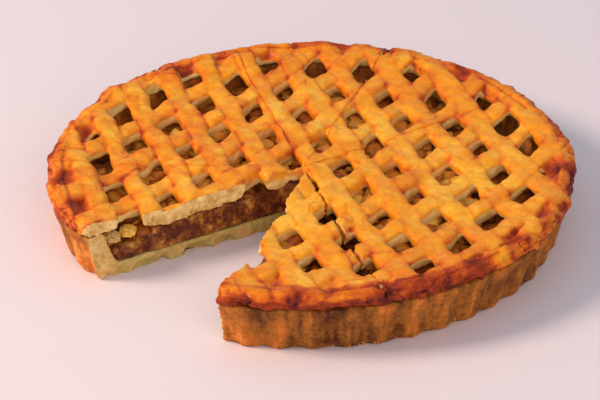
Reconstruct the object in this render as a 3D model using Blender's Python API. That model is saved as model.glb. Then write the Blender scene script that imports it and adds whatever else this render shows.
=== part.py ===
"""Apple tart with a lattice top, one slice taken out and one slice cut free but still in place.

Metres, +Z up. The origin is the middle of the tart on its flat base, and -Y is the front.
"""
import math
import random

import bmesh
import bpy
from mathutils import Vector, noise

MM = 0.001

# Whole tart
TOP_RADIUS = 140.5 * MM
BASE_RADIUS = 130.4 * MM
RIM_HEIGHT = 37.0 * MM
BASE_THICKNESS = 8.0 * MM
SEAM_HEIGHT = 27.5 * MM
FLUTES = 48
FLUTE_DEPTH = 1.1 * MM
GAP = 0.3 * MM

# Crust wall
WALL_SECTIONS = FLUTES * 4
WALL_MIDDLE = 14.0 * MM
FOOT_EDGE = 1.2 * MM
INNER_RADIUS_LOW = 119.0 * MM
INNER_RADIUS_HIGH = 126.5 * MM
INNER_CORNER = 2.0 * MM

# Lattice: hole centres lie at ORIGIN + along * m + across * n, a little fanned out
LATTICE_ORIGIN = Vector((6.7 * MM, 29.5 * MM))
PITCH_ALONG = Vector((10.0 * MM, -28.5 * MM))
PITCH_ACROSS = Vector((17.4 * MM, 23.5 * MM))
FAN = 0.3 * MM
STRIP_WIDTH = 12.8 * MM
STRIP_END_RADIUS = 131.0 * MM
OVER_TOP = 33.2 * MM
UNDER_TOP = 32.0 * MM
TOP_RISE = 2.6 * MM
OVER_BOTTOM = 24.2 * MM
UNDER_BOTTOM = 23.4 * MM
BOTTOM_AT_RIM = 28.9 * MM
ROOF_CLIMBS = (104.0 * MM, 130.0 * MM)
FLOOR_CLIMBS = (98.0 * MM, 123.0 * MM)
LATTICE_ROWS = range(-7, 8)
STRIP_STATIONS = 9
STRIP_SECTION = [(-0.94, 0.0), (-1.0, 0.6), (-0.5, 0.98), (0.5, 0.98), (1.0, 0.6), (0.94, 0.0)]

# Collar: reach from the top radius and lift over the seam, in millimetres
COLLAR_SECTIONS = 120
COLLAR_PROFILE = [(-16.0, 0.0), (-1.3, 0.0), (0.2, 1.8), (0.0, 5.2), (-2.2, 8.4),
                  (-6.5, 9.0), (-12.5, 7.2), (-16.6, 3.2)]
COLLAR_CRAG = 1.1
COLLAR_CRAG_HIDDEN = 0.4

# Cuts: both knife lines start at CUT_CENTRE
CUT_CENTRE = Vector((-4.0 * MM, 0.0))
MISSING_START = math.radians(210.0)
SLICE_END = math.radians(287.0)
SLICE_TIP = Vector((-3.3 * MM, -5.2 * MM))
SLICE_LEFT_SIDE = math.radians(252.4)
SLICE_FLARE = 5.0 * MM
KNIFE_GAP = 0.5 * MM
KNIFE_GAP_WIDEST = 2.4 * MM
CUT_ROUGHNESS = 0.8 * MM
CUT_STEPS = 12
CUT_REACH = 160.0 * MM
CUT_LEVELS = [-10.0, 2.0, 7.0, 12.0, 17.0, 22.0, 27.0, 32.0, 50.0]
SCORE_LINES = [math.radians(degrees) for degrees in (32.5, 70.0, 106.0, 178.3)]
SCORE_WIDTH = 1.3 * MM
SCORE_DEPTH = 4.0 * MM
SCORE_START = 18.0 * MM
SCORE_REACH = 150.0 * MM
SCORE_STEPS = 4
FLAT_ENOUGH = math.radians(2.0)

# Filling
FILLING_TOP_MIDDLE = 22.4 * MM
FILLING_TOP_EDGE = 19.0 * MM
FILLING_BUMP = 2.1 * MM
FILLING_RIM = 117.0 * MM
FILLING_SHOULDER = (2.2 * MM, 1.6 * MM)
FILLING_SECTIONS = 64
FILLING_RINGS = [0.98, 0.87, 0.76, 0.65, 0.54, 0.43, 0.32]

# Two loose bits that show at the first cut, beside the crust wall
HOLLOW_START_RADIUS = 96.0 * MM
HOLLOW_DEPTH = 2.2 * MM
SCRAP_SIZE = Vector((8.6 * MM, 6.5 * MM, 5.8 * MM))
SCRAP_RADIUS = 112.6 * MM
CHUNK_SIZE = Vector((8.4 * MM, 8.0 * MM, 5.4 * MM))
CHUNK_RADIUS = 102.6 * MM

# Colour, roughness
CRUST = ("baked_crust", (0.60, 0.33, 0.12), 0.62)
FILLING = ("apple_filling", (0.18, 0.07, 0.025), 0.42)
GLAZED = ("egg_washed_lattice", (0.83, 0.40, 0.07), 0.38)
APPLE = ("apple_flesh", (0.68, 0.42, 0.08), 0.35)
CRUMB = ("pale_crumb", (0.76, 0.56, 0.27), 0.75)


def clear_scene():
    for old in list(bpy.data.objects):
        bpy.data.objects.remove(old, do_unlink=True)


def make_material(name, colour, roughness):
    material = bpy.data.materials.get(name) or bpy.data.materials.new(name)
    material.use_nodes = True
    shader = material.node_tree.nodes["Principled BSDF"]
    shader.inputs["Base Color"].default_value = (*colour, 1.0)
    shader.inputs["Roughness"].default_value = roughness
    shader.inputs["Metallic"].default_value = 0.0
    return material


def make_object(name, mesh, finish=None):
    thing = bpy.data.objects.new(name, mesh)
    bpy.context.scene.collection.objects.link(thing)
    if finish:
        mesh.materials.clear()
        mesh.materials.append(make_material(*finish))
    return thing


def smooth_step(low, high, value):
    share = min(1.0, max(0.0, (value - low) / (high - low)))
    return share * share * (3.0 - 2.0 * share)


def bump_at(angle, middle_degrees, spread_degrees):
    """One rounded swelling of height 1 in the outline, centred on a direction."""
    turn = (math.degrees(angle) - middle_degrees + 180.0) % 360.0 - 180.0
    return math.exp(-(turn / spread_degrees) ** 2)


def wobble(angle, scale, seed):
    """Smooth random value from -1 to 1 that closes on itself round the tart."""
    place = Vector((math.cos(angle), math.sin(angle), 0.0)) * scale
    return noise.noise(place + Vector((0.0, 0.0, seed)))


def outline_shift(angle):
    """The tart isn't quite round: fuller at the back and at the loose slice, drawn in at the cut."""
    return (0.9 * bump_at(angle, 105.0, 25.0) + 1.0 * bump_at(angle, 256.0, 9.0)
            - 5.0 * bump_at(angle, 210.0, 7.0) + 0.6 * wobble(angle, 3.0, 2.0)) * MM


def seam_height(angle):
    """Height of the uneven line where the lattice sheet folds over the crust wall."""
    return SEAM_HEIGHT + 1.3 * MM * wobble(angle, 6.0, 5.0)


def flute(angle, height):
    fade = 1.0 - 0.6 * smooth_step(0.4 * SEAM_HEIGHT, SEAM_HEIGHT, height)
    return FLUTE_DEPTH * fade * math.cos(FLUTES * angle)


def wall_radius(angle, height):
    lean = (TOP_RADIUS - 2.8 * MM - BASE_RADIUS) * (height / SEAM_HEIGHT) ** 0.9
    return BASE_RADIUS + lean + flute(angle, height) + outline_shift(angle)


def inner_radius(angle, height):
    share = (height - BASE_THICKNESS) / (SEAM_HEIGHT - BASE_THICKNESS)
    return INNER_RADIUS_LOW + (INNER_RADIUS_HIGH - INNER_RADIUS_LOW) * share + 0.6 * outline_shift(angle)


def ring(count, point_at):
    return [point_at(2.0 * math.pi * step / count) for step in range(count)]


def polar(angle, radius, height):
    return Vector((radius * math.cos(angle), radius * math.sin(angle), height))


def stitch(mesh, lower, upper):
    """Faces between two closed rings of vertices that may have different counts."""
    low_step = 0
    high_step = 0
    while low_step < len(lower) or high_step < len(upper):
        low = lower[low_step % len(lower)]
        high = upper[high_step % len(upper)]
        low_next = (low_step + 1) / len(lower) if low_step < len(lower) and len(lower) > 1 else 2.0
        high_next = (high_step + 1) / len(upper) if high_step < len(upper) and len(upper) > 1 else 2.0
        if low_next > 1.5 and high_next > 1.5:
            break
        if low_next <= high_next:
            low_step += 1
            mesh.faces.new((low, lower[low_step % len(lower)], high))
        else:
            high_step += 1
            mesh.faces.new((low, upper[high_step % len(upper)], high))


def solid_from_rings(name, rings, closed_loop=False):
    """A closed body from rings listed bottom to top on the outside, then top to bottom inside."""
    mesh = bmesh.new()
    loops = [[mesh.verts.new(point) for point in points] for points in rings]
    for lower, upper in zip(loops, loops[1:]):
        stitch(mesh, lower, upper)
    if closed_loop:
        stitch(mesh, loops[-1], loops[0])
    bmesh.ops.recalc_face_normals(mesh, faces=mesh.faces)
    data = bpy.data.meshes.new(name)
    mesh.to_mesh(data)
    mesh.free()
    return make_object(name, data)


def bake_modifiers(thing):
    evaluated = thing.evaluated_get(bpy.context.evaluated_depsgraph_get())
    mesh = bpy.data.meshes.new_from_object(evaluated)
    thing.modifiers.clear()
    thing.data = mesh


def combine(thing, operation, tool):
    """Cut, keep or join with one object or a collection of objects, and apply it."""
    boolean = thing.modifiers.new(operation.lower(), "BOOLEAN")
    boolean.operation = operation
    boolean.solver = "EXACT"
    if isinstance(tool, bpy.types.Collection):
        boolean.operand_type = "COLLECTION"
        boolean.collection = tool
    else:
        boolean.object = tool
    bake_modifiers(thing)


def drop(thing):
    bpy.data.objects.remove(thing, do_unlink=True)


def crust_shell():
    """Base and fluted wall, one turned shape with 48 flutes outside."""
    corner = BASE_THICKNESS + INNER_CORNER
    rings = [[Vector((0.0, 0.0, 0.0))]]
    rings.append(ring(WALL_SECTIONS, lambda a: polar(a, wall_radius(a, 0.0) - FOOT_EDGE, 0.0)))
    for height in (FOOT_EDGE, WALL_MIDDLE):
        rings.append(ring(WALL_SECTIONS, lambda a, h=height: polar(a, wall_radius(a, h), h)))
    rings.append(ring(WALL_SECTIONS, lambda a: polar(a, wall_radius(a, seam_height(a)), seam_height(a))))
    inside = WALL_SECTIONS // 2
    rings.append(ring(inside, lambda a: polar(a, inner_radius(a, seam_height(a)), seam_height(a))))
    rings.append(ring(inside, lambda a: polar(a, inner_radius(a, corner), corner)))
    rings.append(ring(inside, lambda a: polar(a, inner_radius(a, BASE_THICKNESS) - INNER_CORNER,
                                              BASE_THICKNESS)))
    rings.append([Vector((0.0, 0.0, BASE_THICKNESS))])
    return solid_from_rings("shell_main", rings)


def filling_top(angle, radius):
    """Lumpy top of the apple layer, lower at the wall and hollow beside the first cut."""
    place = polar(angle, radius, 0.0) / (11.0 * MM)
    lumps = 0.6 * noise.noise(place) + 0.4 * noise.noise(place * 2.1 + Vector((7.0, 1.0, 0.0)))
    level = FILLING_TOP_MIDDLE + (FILLING_TOP_EDGE - FILLING_TOP_MIDDLE) * smooth_step(
        70.0 * MM, 116.0 * MM, radius)
    beside_cut = bump_at(angle, 207.0, 8.0) * smooth_step(
        HOLLOW_START_RADIUS - 6.0 * MM, HOLLOW_START_RADIUS, radius)
    lumpy = level + FILLING_BUMP * lumps * (1.0 - beside_cut)
    return min(lumpy, UNDER_BOTTOM - 2.0 * GAP) - HOLLOW_DEPTH * beside_cut


def apple_layer():
    bottom = BASE_THICKNESS + GAP
    corner = bottom + INNER_CORNER
    out, down = FILLING_SHOULDER
    sections = FILLING_SECTIONS
    rings = [[Vector((0.0, 0.0, bottom))]]
    foot_inset = INNER_CORNER + 2.0 * GAP
    rings.append(ring(sections, lambda a: polar(a, inner_radius(a, BASE_THICKNESS) - foot_inset, bottom)))
    rings.append(ring(sections, lambda a: polar(a, inner_radius(a, corner) - 2.0 * GAP, corner)))
    rings.append(ring(sections, lambda a: polar(a, FILLING_RIM + out + 0.6 * outline_shift(a),
                                                filling_top(a, FILLING_RIM) - down)))
    top_rings = [(share, sections) for share in FILLING_RINGS]
    top_rings += [(0.2, sections // 2), (0.09, sections // 4)]
    for share, count in top_rings:
        radius = FILLING_RIM * share
        rings.append(ring(count, lambda a, r=radius: polar(a, r, filling_top(a, r))))
    rings.append([Vector((0.0, 0.0, filling_top(0.0, 0.0)))])
    return solid_from_rings("filling_main", rings)


def rim_collar():
    """The outer ring of the lattice sheet, pressed down over the wall and crumbled at its edge."""
    rings = []
    last = len(COLLAR_PROFILE) - 1
    for order, (reach, lift) in enumerate(COLLAR_PROFILE):
        crag = COLLAR_CRAG if 0 < order < last else COLLAR_CRAG_HIDDEN

        def place(angle, reach=reach, lift=lift, crag=crag, order=order):
            rough_out = crag * wobble(angle, 17.0, order * 1.7 + 1.0) * MM
            rough_up = 0.9 * crag * wobble(angle, 13.0, order * 2.3 + 40.0) * MM if lift > 1.0 else 0.0
            radius = TOP_RADIUS + reach * MM + outline_shift(angle) + rough_out
            height = seam_height(angle) + GAP + lift * MM + rough_up
            return polar(angle, radius, min(height, RIM_HEIGHT + 0.8 * MM))

        rings.append(ring(COLLAR_SECTIONS, place))
    return solid_from_rings("lattice_main", rings, closed_loop=True)


def lattice_point(m, n):
    """Plan position on the lattice: m counts holes along one way of strips, n along the other."""
    place = LATTICE_ORIGIN + PITCH_ALONG * m + PITCH_ACROSS * n
    fan = Vector((0.8 * m * n - 0.6 * n * n, m * m + n * n)) * FAN
    return place + fan


def strip_solid(name, centre_at, top, bottom):
    """One pastry strip: a thick band with rounded shoulders that climbs to the rim at both ends."""
    points = [centre_at(float(step)) for step in range(-STRIP_STATIONS, STRIP_STATIONS + 1)]
    inside = [index for index, point in enumerate(points) if point.length < STRIP_END_RADIUS]
    if len(inside) < 2:
        return None
    first, last = inside[0], inside[-1]

    def clip(inner, outer):
        low, high = 0.0, 1.0
        for _ in range(20):
            middle = 0.5 * (low + high)
            if inner.lerp(outer, middle).length < STRIP_END_RADIUS:
                low = middle
            else:
                high = middle
        return inner.lerp(outer, low)

    line = [clip(points[first], points[first - 1])] if first > 0 else []
    line += points[first:last + 1]
    if last + 1 < len(points):
        line.append(clip(points[last], points[last + 1]))
    half = STRIP_WIDTH / 2.0
    mesh = bmesh.new()
    loops = []
    for index, point in enumerate(line):
        ahead = line[min(index + 1, len(line) - 1)] - line[max(index - 1, 0)]
        side = Vector((-ahead.y, ahead.x)).normalized()
        climb = smooth_step(*ROOF_CLIMBS, point.length)
        floor = bottom + (BOTTOM_AT_RIM - bottom) * smooth_step(*FLOOR_CLIMBS, point.length)
        roof = top + TOP_RISE * climb + 0.5 * MM * noise.noise(Vector((point.x, point.y, 0.0)) * 60.0)
        broad = half * (1.0 + 0.07 * noise.noise(Vector((point.x, point.y, top)) * 80.0))
        loop = []
        for across, up in STRIP_SECTION:
            place = point + side * across * broad
            loop.append(mesh.verts.new((place.x, place.y, floor + (roof - floor) * up)))
        loops.append(loop)
    for before, after in zip(loops, loops[1:]):
        for index in range(len(STRIP_SECTION)):
            following = (index + 1) % len(STRIP_SECTION)
            mesh.faces.new((before[index], before[following], after[following], after[index]))
    mesh.faces.new(loops[0])
    mesh.faces.new(list(reversed(loops[-1])))
    bmesh.ops.recalc_face_normals(mesh, faces=mesh.faces)
    data = bpy.data.meshes.new(name)
    mesh.to_mesh(data)
    mesh.free()
    return make_object(name, data)


def lattice_sheet():
    """Both ways of strips fused with the collar: the second way lies over the first."""
    sheet = rim_collar()
    strips = bpy.data.collections.new("strips")
    bpy.context.scene.collection.children.link(strips)
    for row in LATTICE_ROWS:
        between = row + 0.5
        ways = [("under", lambda n, m=between: lattice_point(m, n), UNDER_TOP, UNDER_BOTTOM),
                ("over", lambda m, n=between: lattice_point(m, n), OVER_TOP, OVER_BOTTOM)]
        for way, centre_at, top, bottom in ways:
            strip = strip_solid(f"{way}_{row}", centre_at, top, bottom)
            if strip:
                bpy.context.scene.collection.objects.unlink(strip)
                strips.objects.link(strip)
    combine(sheet, "UNION", strips)
    for strip in list(strips.objects):
        drop(strip)
    bpy.data.collections.remove(strips)
    for number, direction in enumerate(SCORE_LINES):
        blade = score_blade(number, direction)
        combine(sheet, "DIFFERENCE", blade)
        drop(blade)
    return sheet


def score_blade(number, direction):
    """Thin wedge along a knife line that only marks the top."""
    along = Vector((math.cos(direction), math.sin(direction), 0.0))
    side = Vector((-along.y, along.x, 0.0))
    start = Vector((CUT_CENTRE.x, CUT_CENTRE.y, 0.0)) + along * SCORE_START
    mesh = bmesh.new()
    rows = []
    for step in range(SCORE_STEPS + 1):
        middle = start + along * (SCORE_REACH - SCORE_START) * (step / SCORE_STEPS)
        rise = TOP_RISE * smooth_step(*ROOF_CLIMBS, middle.length)
        deep = middle + Vector((0.0, 0.0, OVER_TOP + rise - SCORE_DEPTH))
        over = Vector((0.0, 0.0, RIM_HEIGHT + 8.0 * MM))
        rows.append([mesh.verts.new(deep), mesh.verts.new(middle + side * SCORE_WIDTH + over),
                     mesh.verts.new(middle - side * SCORE_WIDTH + over)])
    for before, after in zip(rows, rows[1:]):
        for index in range(3):
            following = (index + 1) % 3
            mesh.faces.new((before[index], before[following], after[following], after[index]))
    mesh.faces.new(rows[0])
    mesh.faces.new(list(reversed(rows[-1])))
    bmesh.ops.recalc_face_normals(mesh, faces=mesh.faces)
    data = bpy.data.meshes.new(f"blade_{number}")
    mesh.to_mesh(data)
    mesh.free()
    return make_object(f"blade_{number}", data)


def knife_line(start, direction, flare=0.0, gap=0.0, widest=0.0):
    """Plan points from the middle outwards; flare and gap push them to the left of travel."""
    along = Vector((math.cos(direction), math.sin(direction)))
    left = Vector((-along.y, along.x))
    points = []
    for step in range(CUT_STEPS + 1):
        reach = CUT_REACH * step / CUT_STEPS
        spread = gap + (widest - gap) * math.sin(math.pi * min(1.0, reach / (130.0 * MM)))
        shift = flare * smooth_step(100.0 * MM, 124.0 * MM, reach) + spread
        points.append(start + along * reach + left * shift)
    return points


def wedge_cutter(name, first_line, second_line, seeds):
    """Tall wedge between two knife lines, with crumbly sides that cut a rough face.

    The two sides of one cut use the same seed, so that their roughness runs in step.
    """
    outline = [(step, first_line, seeds[0]) for step in range(len(first_line))]
    outline += [(step, second_line, seeds[1]) for step in range(len(second_line) - 1, 0, -1)]
    mesh = bmesh.new()
    loops = []
    for level in CUT_LEVELS:
        loop = []
        for step, line, seed in outline:
            along = (line[-1] - line[0]).normalized()
            fade = smooth_step(5.0 * MM, 30.0 * MM, (line[step] - line[0]).length)
            rough = fade * CUT_ROUGHNESS * noise.noise(Vector((step * 0.9, level * 0.35, seed)))
            place = line[step] + Vector((-along.y, along.x)) * rough
            loop.append(mesh.verts.new((place.x, place.y, level * MM)))
        loops.append(loop)
    count = len(outline)
    for before, after in zip(loops, loops[1:]):
        for index in range(count):
            following = (index + 1) % count
            mesh.faces.new((before[index], before[following], after[following], after[index]))
    mesh.faces.new(list(reversed(loops[0])))
    mesh.faces.new(loops[-1])
    bmesh.ops.triangulate(mesh, faces=mesh.faces)
    bmesh.ops.recalc_face_normals(mesh, faces=mesh.faces)
    data = bpy.data.meshes.new(name)
    mesh.to_mesh(data)
    mesh.free()
    return make_object(name, data)


def copy_of(thing, name):
    twin = bpy.data.objects.new(name, thing.data.copy())
    bpy.context.scene.collection.objects.link(twin)
    return twin


def keep_largest(thing):
    """Drop crumbs that a cut leaves loose."""
    mesh = bmesh.new()
    mesh.from_mesh(thing.data)
    bmesh.ops.remove_doubles(mesh, verts=mesh.verts, dist=0.00001)
    left = set(mesh.verts)
    groups = []
    while left:
        seed = left.pop()
        group = {seed}
        border = [seed]
        while border:
            vertex = border.pop()
            for edge in vertex.link_edges:
                other = edge.other_vert(vertex)
                if other in left:
                    left.remove(other)
                    group.add(other)
                    border.append(other)
        groups.append(group)
    groups.sort(key=len, reverse=True)
    for group in groups[1:]:
        bmesh.ops.delete(mesh, geom=list(group), context="VERTS")
    bmesh.ops.dissolve_limit(mesh, angle_limit=FLAT_ENOUGH, verts=mesh.verts, edges=mesh.edges)
    bmesh.ops.triangulate(mesh, faces=mesh.faces)
    drop_flaps(mesh)
    mesh.to_mesh(thing.data)
    mesh.free()


def drop_flaps(mesh):
    """Remove pairs of faces that lie back to back on the same three corners."""
    seen = {}
    for face in mesh.faces:
        seen.setdefault(frozenset(face.verts), []).append(face)
    flaps = [face for pair in seen.values() if len(pair) == 2 for face in pair]
    bmesh.ops.delete(mesh, geom=flaps, context="FACES")


def lump(name, size, turn, place, seed, finish):
    """A small irregular block with knocked-off corners."""
    mesh = bmesh.new()
    bmesh.ops.create_cube(mesh, size=1.0)
    bmesh.ops.bevel(mesh, geom=mesh.edges[:], offset=0.16, segments=1, affect="EDGES")
    draw = random.Random(seed)
    for vertex in mesh.verts:
        vertex.co += Vector([draw.uniform(-0.05, 0.05) for _ in range(3)])
        vertex.co = Vector((vertex.co.x * size.x, vertex.co.y * size.y, vertex.co.z * size.z))
    bmesh.ops.triangulate(mesh, faces=mesh.faces)
    data = bpy.data.meshes.new(name)
    mesh.to_mesh(data)
    mesh.free()
    thing = make_object(name, data, finish)
    thing.rotation_euler = (0.0, 0.0, turn)
    thing.location = place
    return thing


def beside_cut(radius, inward, height):
    """Middle of a bit that lies on the filling, just inside the first cut face."""
    way = Vector((math.cos(MISSING_START), math.sin(MISSING_START)))
    place = CUT_CENTRE + way * radius + Vector((way.y, -way.x)) * inward
    floor = filling_top(math.atan2(place.y, place.x), place.length) + 4.0 * GAP
    return Vector((place.x, place.y, floor + 0.5 * height))


def finish_node(thing, finish):
    keep_largest(thing)
    thing.data.materials.clear()
    thing.data.materials.append(make_material(*finish))
    thing.data.shade_smooth()
    thing.data.set_sharp_from_angle(angle=math.radians(35.0))


def build():
    clear_scene()
    wholes = {"shell": (crust_shell(), CRUST), "filling": (apple_layer(), FILLING),
              "lattice": (lattice_sheet(), GLAZED)}
    opening = wedge_cutter("opening", knife_line(CUT_CENTRE, MISSING_START),
                           knife_line(CUT_CENTRE, SLICE_END), (3.0, 5.0))
    left_side = knife_line(SLICE_TIP, SLICE_LEFT_SIDE, flare=-SLICE_FLARE)
    right_side = knife_line(CUT_CENTRE, SLICE_END, gap=-KNIFE_GAP, widest=-KNIFE_GAP_WIDEST)
    right_side[0] = SLICE_TIP + Vector((0.2 * MM, 0.0))
    slice_wedge = wedge_cutter("slice_wedge", left_side, right_side, (8.0, 5.0))
    for part, (whole, finish) in wholes.items():
        piece = copy_of(whole, f"{part}_slice")
        combine(piece, "INTERSECT", slice_wedge)
        combine(whole, "DIFFERENCE", opening)
        finish_node(piece, finish)
        finish_node(whole, finish)
    drop(opening)
    drop(slice_wedge)
    lump("pastry_scrap", SCRAP_SIZE, MISSING_START + 0.1, beside_cut(SCRAP_RADIUS, 5.0 * MM, SCRAP_SIZE.z),
         4, CRUMB)
    lump("apple_chunk", CHUNK_SIZE, MISSING_START - 0.2, beside_cut(CHUNK_RADIUS, 6.0 * MM, CHUNK_SIZE.z),
         9, APPLE)


build()
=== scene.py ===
import itertools
import math
from functools import partial

import bmesh
import bpy
import numpy as np
from mathutils import Matrix, Vector, noise


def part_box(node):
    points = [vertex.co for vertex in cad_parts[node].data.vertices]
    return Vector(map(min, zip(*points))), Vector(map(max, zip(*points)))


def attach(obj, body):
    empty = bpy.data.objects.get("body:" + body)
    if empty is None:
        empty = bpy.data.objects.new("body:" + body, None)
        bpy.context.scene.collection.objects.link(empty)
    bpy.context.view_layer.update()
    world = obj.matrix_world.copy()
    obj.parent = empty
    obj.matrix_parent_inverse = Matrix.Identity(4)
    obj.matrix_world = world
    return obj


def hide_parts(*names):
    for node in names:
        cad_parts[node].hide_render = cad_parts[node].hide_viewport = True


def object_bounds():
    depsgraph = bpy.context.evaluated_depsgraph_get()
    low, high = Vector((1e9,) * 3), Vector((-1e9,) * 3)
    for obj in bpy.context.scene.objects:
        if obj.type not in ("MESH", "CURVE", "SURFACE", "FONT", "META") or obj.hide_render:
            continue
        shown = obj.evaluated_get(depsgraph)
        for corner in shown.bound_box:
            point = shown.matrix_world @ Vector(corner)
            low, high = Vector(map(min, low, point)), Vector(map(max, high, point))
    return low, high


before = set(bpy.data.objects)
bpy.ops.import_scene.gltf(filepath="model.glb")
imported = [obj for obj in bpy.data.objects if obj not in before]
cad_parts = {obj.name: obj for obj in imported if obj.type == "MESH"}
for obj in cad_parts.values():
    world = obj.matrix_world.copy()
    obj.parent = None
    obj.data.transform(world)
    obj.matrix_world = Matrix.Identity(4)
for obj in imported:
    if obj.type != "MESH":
        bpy.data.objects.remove(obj)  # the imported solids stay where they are
cadLow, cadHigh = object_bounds()
mm = 0.001  # every size below is in millimetres, and meshes are in metres
scene = bpy.context.scene
print("frame loaded")

tart = {
    "topRadius": 140.5,
    "baseRadius": 130.4,
    "seamHeight": 27.5,  # where the lattice sheet folds over the wall
    "rimHeight": 37.0,
    "baseThickness": 8.0,
    "innerLow": 119.0,
    "innerHigh": 126.5,
    "flutes": 48,
    "fluteDepth": 1.1,
    "gap": 0.3,  # between neighbours
}

knife = {
    "centre": (-4.0, 0.0),
    "roughness": 0.8,
    "reach": 160.0,
    "step": 2.0,
    "levels": (-10.0, 50.0, 2.5),
    "arcSteps": 26,
    "outside": 1.15,  # how far out the far side of a cut-out block is, in times that reach
    "near": 1.3,  # a face this near a blade's line was cut by it
}

# every cut: its way in degrees, where it starts and how it bends near the wall. "gap" and "widest" are
# how far left of that way a side stands at its ends and halfway: on the slice's right, above 0 joins it
# to the tart and below 0 leaves the cut open. "score" below 0 lets both pieces overlap at a scored line
blades = {
    "openingLeft": {"way": 210.0, "seed": 3.0},
    "openingRight": {"way": 287.0, "seed": 5.0},
    "sliceLeft": {"way": 252.4, "seed": 8.0, "start": (-3.3, -5.2), "flare": -5.0},
    "sliceRight": {"way": 287.0, "seed": 5.0, "gap": 0.5, "widest": -2.3, "start": (-3.1, -5.2)},
    "scoreRight": {"way": 32.5, "seed": 11.0, "score": -0.25},
    "scoreBack": {"way": 70.0, "seed": 12.0, "score": -0.12},
    "scoreMiddle": {"way": 106.0, "seed": 13.0, "score": -0.08},
    "scoreLeft": {"way": 178.3, "seed": 14.0, "score": -0.3},
}


# sums that every piece uses

def smoothStep(low, high, value):
    share = np.clip((value - low) / (high - low), 0.0, 1.0)
    return share * share * (3.0 - 2.0 * share)


def bumpAt(angle, middle, spread):  # one rounded swelling, its middle and spread in degrees
    turn = (np.degrees(angle) - middle + 180.0) % 360.0 - 180.0
    return np.exp(-(turn / spread) ** 2)


def wobble(angle, scale, seed):  # smooth random value that closes on itself round the tart
    place = Vector((math.cos(angle), math.sin(angle), 0.0)) * scale
    return noise.noise(place + Vector((0.0, 0.0, seed)))


def softNoise(points, size, seed):  # smooth random field from -1 to 1 with lumps of that size
    grid = points / size + seed * 7.31
    cell = np.floor(grid).astype(np.int64)
    share = grid - cell
    share = share * share * share * (share * (share * 6.0 - 15.0) + 10.0)
    total = np.zeros(len(points))
    for corner in itertools.product((0, 1), repeat=3):
        at = cell + np.array(corner)
        code = (at[:, 0] * 73856093) ^ (at[:, 1] * 19349663) ^ (at[:, 2] * 83492791)
        code = code ^ (int(seed) * 2654435)
        code = ((code ^ (code >> 13)) * 1274126177) & 0xFFFFFFFF
        code = ((code ^ (code >> 16)) * 2246822519) & 0xFFFFFFFF
        weight = np.prod(np.where(np.array(corner) == 1, share, 1.0 - share), axis=1)
        total += weight * (code / 2147483648.0 - 1.0)
    return total


def lumps(points, size, seed, layers=3):  # softNoise in finer and fainter layers
    total = np.zeros(len(points))
    for layer in range(layers):
        total += softNoise(points, size / 2.1 ** layer, seed + 3 * layer) * 0.5 ** layer
    return total


def turnAndRadius(points):
    return np.arctan2(points[:, 1], points[:, 0]), np.hypot(points[:, 0], points[:, 1])


# the tart's outline, the same rule as the solids have

def outlineShift(angle):
    return (0.9 * bumpAt(angle, 105.0, 25.0) + 1.0 * bumpAt(angle, 256.0, 9.0)
            - 5.0 * bumpAt(angle, 210.0, 7.0) + 0.6 * wobble(angle, 3.0, 2.0))


turns = np.linspace(-math.pi, math.pi, 721)
shiftTable = np.array([outlineShift(a) for a in turns])
seamTable = np.array([tart["seamHeight"] + 1.3 * wobble(a, 6.0, 5.0) for a in turns])


def turnsOf(segments):  # that many angles round the tart
    return turns[0] + np.arange(segments) * 2.0 * math.pi / segments


def shiftAt(angle):
    return np.interp(angle, turns, shiftTable)


def seamAt(angle):
    return np.interp(angle, turns, seamTable)


def wallRadius(angle, height):
    lean = (tart["topRadius"] - 2.8 - tart["baseRadius"]) * (height / tart["seamHeight"]) ** 0.9
    fade = 1.0 - 0.6 * smoothStep(0.4 * tart["seamHeight"], tart["seamHeight"], height)
    flute = tart["fluteDepth"] * fade * np.cos(tart["flutes"] * angle)
    return tart["baseRadius"] + lean + flute + shiftAt(angle)


def innerRadius(angle, height):
    share = (height - tart["baseThickness"]) / (tart["seamHeight"] - tart["baseThickness"])
    return tart["innerLow"] + (tart["innerHigh"] - tart["innerLow"]) * share + 0.6 * shiftAt(angle)


# mesh work

def makeObject(name, mesh):
    thing = bpy.data.objects.new(name, mesh)
    scene.collection.objects.link(thing)
    return thing


def makeMesh(name, points, faces):  # points in millimetres
    mesh = bpy.data.meshes.new(name)
    mesh.from_pydata([tuple(p * mm for p in point) for point in points], [], faces)
    mesh.update()
    return makeObject(name, mesh)


def ringAt(angles, radius, height):  # one ring of points
    heights = np.broadcast_to(height, radius.shape)
    return np.column_stack((radius * np.cos(angles), radius * np.sin(angles), heights))


def ringSolid(name, rings, closedLoop=False):  # rings are arrays of points, all of one length
    count = len(rings[0])
    points = np.concatenate(rings)
    faces = []
    last = len(rings) if closedLoop else len(rings) - 1
    for row in range(last):
        low = row * count
        high = ((row + 1) % len(rings)) * count
        for step in range(count):
            after = (step + 1) % count
            faces.append((low + step, low + after, high + after, high + step))
    if not closedLoop:
        faces.append(tuple(reversed(range(count))))
        faces.append(tuple(range(len(points) - count, len(points))))
    return makeMesh(name, points, faces)


def placeForm(name, work, middle, turn, reach):  # a form one unit wide, stretched, turned and moved
    mesh = bpy.data.meshes.new(name)
    work.to_mesh(mesh)
    work.free()
    mesh.transform(Matrix.Translation(middle) @ Matrix.Rotation(turn, 4, "Z")
                   @ Matrix.Diagonal((*reach, 1.0)))
    return makeObject(name, mesh)


def bakeModifiers(thing):
    bpy.context.view_layer.update()
    evaluated = thing.evaluated_get(bpy.context.evaluated_depsgraph_get())
    mesh = bpy.data.meshes.new_from_object(evaluated)
    thing.modifiers.clear()
    old = thing.data
    thing.data = mesh
    bpy.data.meshes.remove(old)


def remesh(thing, voxel):  # one even closed skin round everything in the object
    skin = thing.modifiers.new("remesh", "REMESH")
    skin.mode = "VOXEL"
    skin.voxel_size = voxel * mm
    skin.use_smooth_shade = True
    bakeModifiers(thing)


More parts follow.
